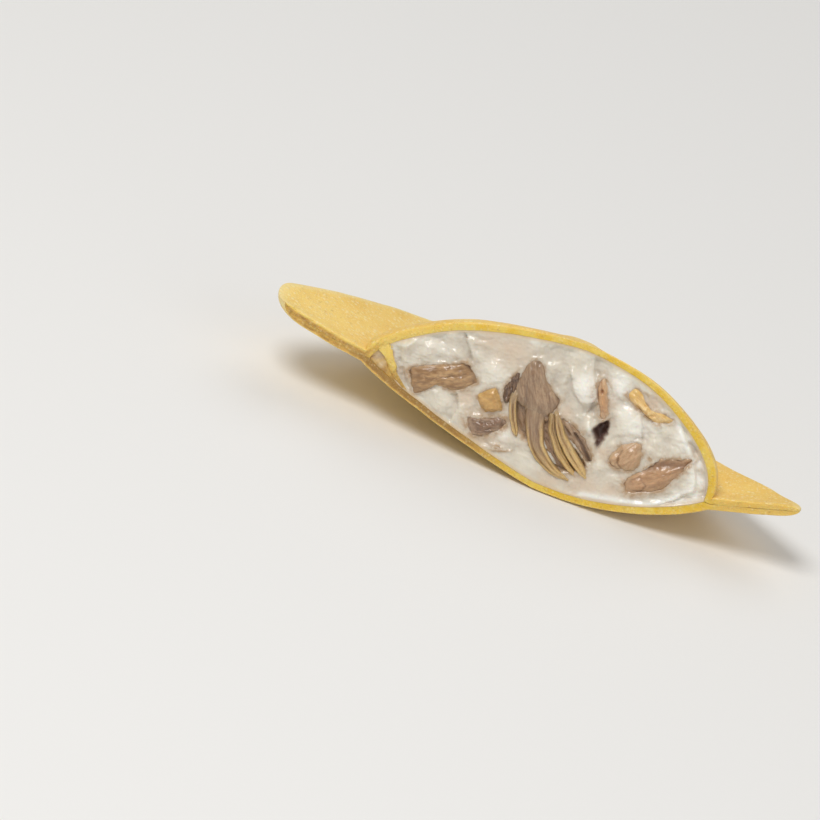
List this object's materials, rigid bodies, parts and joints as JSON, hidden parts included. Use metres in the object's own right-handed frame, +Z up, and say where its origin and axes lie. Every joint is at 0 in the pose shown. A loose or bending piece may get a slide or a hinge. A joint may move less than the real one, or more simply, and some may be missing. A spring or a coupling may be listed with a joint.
{
  "type": "cut ravioli half",
  "caption": "Half of a large square stuffed pasta parcel, cut from corner to corner, with a creamy filling and mushroom pieces showing at the cut.",
  "frame": {"origin": "on the table under the middle of the bounding box", "axes": "+Z up from the table, +X along the cut from its left tip to its right tip, -Y out of the cut face"},
  "size_m": [0.067, 0.0376, 0.0184],
  "materials": {
    "dough": "boiled egg dough, moist satin with a fine semolina grain",
    "cream": "lumpy ricotta cream, moist",
    "mushroom": "cooked mushroom, fibrous, moist"
  },
  "bodies": {
    "root": {"dough_top_sheet": "dough", "dough_bottom_sheet": "dough", "cream_filling": "cream", "mushroom_slab_left": "mushroom", "mushroom_cube": "mushroom", "mushroom_gilled_slice": "mushroom", "mushroom_strip": "mushroom", "mushroom_sliver": "mushroom", "mushroom_lump": "mushroom", "mushroom_slab_right": "mushroom", "mushroom_flake_low": "mushroom"}
  },
  "joints": []
}
